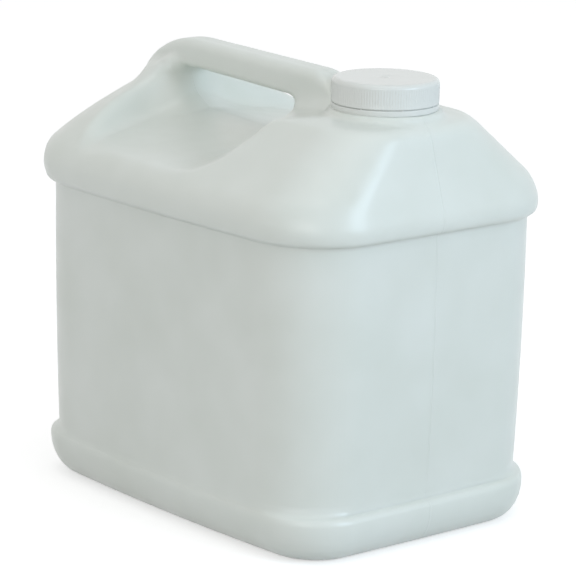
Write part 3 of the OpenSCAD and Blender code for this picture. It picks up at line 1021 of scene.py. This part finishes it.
@dataclass(frozen=True)
class BlowMoulded(Finish):
    """Natural HDPE, blow-moulded: milky, softly uneven, with the mould's parting line."""

    thin_colour: str = "#DCE1DC"
    cloud_mm: float = 55.0
    rub_mm: float = 12.0
    wave_mm: float = 38.0
    wave_height_mm: float = 0.5
    line_height_mm: float = 0.16

    def patterns(self, tree: bpy.types.NodeTree, place: bpy.types.NodeSocket) -> dict:
        """Add cloudiness, waviness, light rubbing and the parting line."""
        cloud = self.noise(tree, place, self.cloud_mm, 2.0)
        tint = add_node(tree, "ShaderNodeMix", {0: cloud.outputs["Fac"], 6: linear(self.colour),
                                                7: linear(self.thin_colour)}, data_type="RGBA")
        rub = self.noise(tree, place, self.rub_mm, 4.0)
        gloss = add_node(tree, "ShaderNodeMapRange", {"Value": rub.outputs["Fac"], "From Min": 0.35,
                                                      "From Max": 0.65, "To Min": self.roughness - 0.03,
                                                      "To Max": self.roughness + 0.05})
        wave = self.noise(tree, place, self.wave_mm, 1.0)
        sag = add_node(tree, "ShaderNodeBump", {"Height": wave.outputs["Fac"], "Strength": 1.0,
                                                "Distance": self.wave_height_mm * MM})
        skin = self.peel(tree, place, Normal=self.parting_line(tree, place, sag.outputs[0]))
        return {"Base Color": tint.outputs[2], "Roughness": gloss.outputs[0], "Normal": skin.outputs[0]}

    def parting_line(self, tree: bpy.types.NodeTree, place: bpy.types.NodeSocket,
                     normal: bpy.types.NodeSocket) -> bpy.types.NodeSocket:
        """Add the raised line that the mould's halves leave on the plane Y = 0."""
        split = add_node(tree, "ShaderNodeSeparateXYZ", {"Vector": place})
        away = add_node(tree, "ShaderNodeMath", {0: split.outputs["Y"]}, operation="ABSOLUTE")
        # The real line is about 0.3 mm wide: drawn 1.2 mm wide, or it falls between pixels.
        ridge = add_node(tree, "ShaderNodeMapRange", {"Value": away.outputs[0], "From Min": 0.15 * MM,
                                                      "From Max": 0.7 * MM, "To Min": 1.0, "To Max": 0.0},
                         interpolation_type="SMOOTHSTEP")
        line = add_node(tree, "ShaderNodeBump", {"Height": ridge.outputs[0], "Strength": 1.0,
                                                 "Distance": self.line_height_mm * MM, "Normal": normal})
        return line.outputs[0]


# Natural HDPE, blown against a finely blasted mould: milky satin, cloudier where the wall is thick.
CAN_PLASTIC = BlowMoulded("natural_HDPE_blow_moulded", colour="#CCD2CA", roughness=0.31, ior=1.54,
                          glow_through=0.3, depth_mm=6.0, peel_mm=1.6, peel_height_mm=0.012)
# White polypropylene, injection moulded in a polished mould: even, smoother and glossier than the can.
CAP_PLASTIC = Finish("white_PP_injection_moulded", colour="#D4D7D3", roughness=0.24, ior=1.49,
                     glow_through=0.1, depth_mm=1.5, peel_mm=0.9, peel_height_mm=0.004)
# White foamed polyethylene sheet, die cut: matt, with fine cells.
WAD_FOAM = Finish("white_PE_foam_wad", colour="#E6E4DD", roughness=0.6, ior=1.5,
                  glow_through=0.2, depth_mm=1.0, peel_mm=0.5, peel_height_mm=0.03)


# Studio

@dataclass(frozen=True)
class Lamp:
    """A softbox: its place, size and power, aimed at the can."""

    name: str
    place: tuple[float, float, float]
    size: float
    watts: float
    colour: str = "#FFFFFF"

    def build(self) -> None:
        """Put the softbox up."""
        data = bpy.data.lights.new(self.name, "AREA")
        data.shape, data.size, data.energy = "DISK", self.size, self.watts
        data.color = linear(self.colour)[:3]
        lamp = bpy.data.objects.new(self.name, data)
        aim = Vector((0.0, 0.0, 0.15)) - Vector(self.place)
        lamp.rotation_euler = aim.to_track_quat("-Z", "Y").to_euler()
        lamp.location = self.place
        bpy.context.scene.collection.objects.link(lamp)


class Studio:
    """White paper floor, even light, softboxes and the camera at the photograph's place."""

    LAMPS = (
        Lamp("softbox_right", place=(2.2, 0.7, 1.1), size=1.3, watts=23.0, colour="#CDE9FF"),
        Lamp("softbox_left", place=(1.4, -2.0, 0.9), size=1.4, watts=11.0),
        Lamp("softbox_top", place=(0.2, -0.3, 2.3), size=1.8, watts=6.0),
    )
    WORLD_LEVEL = 0.66
    PAPER_COLOUR = "#D2D2D2"
    PAPER_LIFT = 0.54
    CAMERA_TURN = 49.99956
    CAMERA_RISE = 13.73741
    CAMERA_ROLL = 1.22411
    CAMERA_BACK = 2.09450
    CAMERA_AIM_Z = 0.14
    CAMERA_SHIFT = (0.0020386, 0.00046296)
    LENS_MM = 195.995

    def surroundings(self) -> None:
        """Even white light, which the camera and mirror images see as plain white."""
        world = bpy.data.worlds.new("white_studio")
        bpy.context.scene.world = world
        world.use_nodes = True
        tree = world.node_tree
        tree.nodes.clear()
        seen = self.seen_directly(tree)
        level = add_node(tree, "ShaderNodeMix", {0: seen, 2: self.WORLD_LEVEL, 3: 1.0})
        light = add_node(tree, "ShaderNodeBackground", {"Color": (1.0, 1.0, 1.0, 1.0),
                                                        "Strength": level.outputs[0]})
        add_node(tree, "ShaderNodeOutputWorld", {"Surface": light.outputs[0]})

    def seen_directly(self, tree: bpy.types.NodeTree) -> bpy.types.NodeSocket:
        """Whether a ray comes from the camera, or from it by gloss or through glass."""
        path = add_node(tree, "ShaderNodeLightPath")
        some = add_node(tree, "ShaderNodeMath", {0: path.outputs["Is Camera Ray"],
                                                 1: path.outputs["Is Glossy Ray"]}, operation="MAXIMUM")
        return add_node(tree, "ShaderNodeMath", {0: some.outputs[0],
                                                 1: path.outputs["Is Transmission Ray"]},
                        operation="MAXIMUM").outputs[0]

    def floor(self) -> bpy.types.Object:
        """A white floor that keeps the can's soft shadow."""
        bm = bmesh.new()
        bmesh.ops.create_grid(bm, x_segments=1, y_segments=1, size=8.0)
        made = new_object("studio_floor", bm, smooth=False)
        made.data.materials.append(self.paper())
        return made

    def paper(self) -> bpy.types.Material:
        """White background paper."""
        paper = bpy.data.materials.new("white_background_paper")
        paper.use_nodes = True
        tree = paper.node_tree
        tree.nodes.clear()
        matt = add_node(tree, "ShaderNodeBsdfDiffuse", {"Color": linear(self.PAPER_COLOUR)})
        lift = add_node(tree, "ShaderNodeEmission", {"Color": (1.0, 1.0, 1.0, 1.0),
                                                     "Strength": self.PAPER_LIFT})
        both = add_node(tree, "ShaderNodeAddShader", {0: matt.outputs[0], 1: lift.outputs[0]})
        mix = add_node(tree, "ShaderNodeMixShader", {0: self.seen_directly(tree), 1: matt.outputs[0],
                                                     2: both.outputs[0]})
        add_node(tree, "ShaderNodeOutputMaterial", {"Surface": mix.outputs[0]})
        return paper

    def camera(self) -> None:
        """Place the camera that was fitted to the photograph's outline."""
        turn, rise, roll = (math.radians(a) for a in (self.CAMERA_TURN, self.CAMERA_RISE, self.CAMERA_ROLL))
        back = Vector((math.sin(turn) * math.cos(rise), -math.cos(turn) * math.cos(rise), math.sin(rise)))
        right = Vector((math.cos(turn), math.sin(turn), 0.0))
        up = back.cross(right)
        aside, above = self.CAMERA_SHIFT
        place = Vector((0.0, 0.0, self.CAMERA_AIM_Z)) + back * self.CAMERA_BACK + right * aside + up * above
        data = bpy.data.cameras.new("camera")
        data.sensor_fit, data.sensor_width, data.lens = "HORIZONTAL", 36.0, self.LENS_MM
        data.clip_start, data.clip_end = 0.05, 60.0
        made = bpy.data.objects.new("camera", data)
        axes = Matrix((right * math.cos(roll) + up * math.sin(roll),
                       up * math.cos(roll) - right * math.sin(roll), back)).transposed()
        made.matrix_world = Matrix.Translation(place) @ axes.to_4x4()
        bpy.context.scene.collection.objects.link(made)
        bpy.context.scene.camera = made

    def build(self) -> None:
        """Set up floor, light and camera."""
        bpy.context.scene.view_settings.view_transform = "Standard"
        self.camera()
        self.surroundings()
        self.floor()
        for lamp in self.LAMPS:
            lamp.build()


class Body(Enum):
    """The bodies that move on their own."""

    BOTTLE = "bottle"
    LINER = "liner"
    CAP = "cap"


@dataclass(frozen=True)
class Place:
    """Where a finished piece belongs: its body, the node it stands for and its slot."""

    body: Body
    node: str
    slot: str


def hand_over(piece: bpy.types.Object, plastic: bpy.types.Material, place: Place) -> None:
    """Give a piece its material and tie it to the frame.

    Args:
        piece: The finished piece.
        plastic: Its material.
        place: Where it belongs.
    """
    piece.data.materials.clear()
    piece.data.materials.append(plastic)
    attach(piece, place.body.value)
    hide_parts(place.node)
    LOG.info("%s: %d faces", piece.name, len(piece.data.polygons))


def main() -> None:
    """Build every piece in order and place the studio."""
    logging.basicConfig(level=logging.INFO, format="%(message)s")
    Studio().build()
    form, sizes = CanForm(), ClosureSizes()
    can_plastic, cap_plastic, foam = (finish.build() for finish in (CAN_PLASTIC, CAP_PLASTIC, WAD_FOAM))
    can = CanShell(form, Neck(sizes)).build()
    hand_over(can, can_plastic, Place(Body.BOTTLE, "body", "can_plastic"))
    hand_over(TamperRing(sizes).build(), cap_plastic, Place(Body.BOTTLE, "tamper_ring", "cap_plastic"))
    hand_over(Wad(sizes).build(), foam, Place(Body.LINER, "cap_liner", "liner_foam"))
    hand_over(Cap(sizes).build(), cap_plastic, Place(Body.CAP, "cap", "cap_plastic"))


if __name__ == "__main__":
    main()
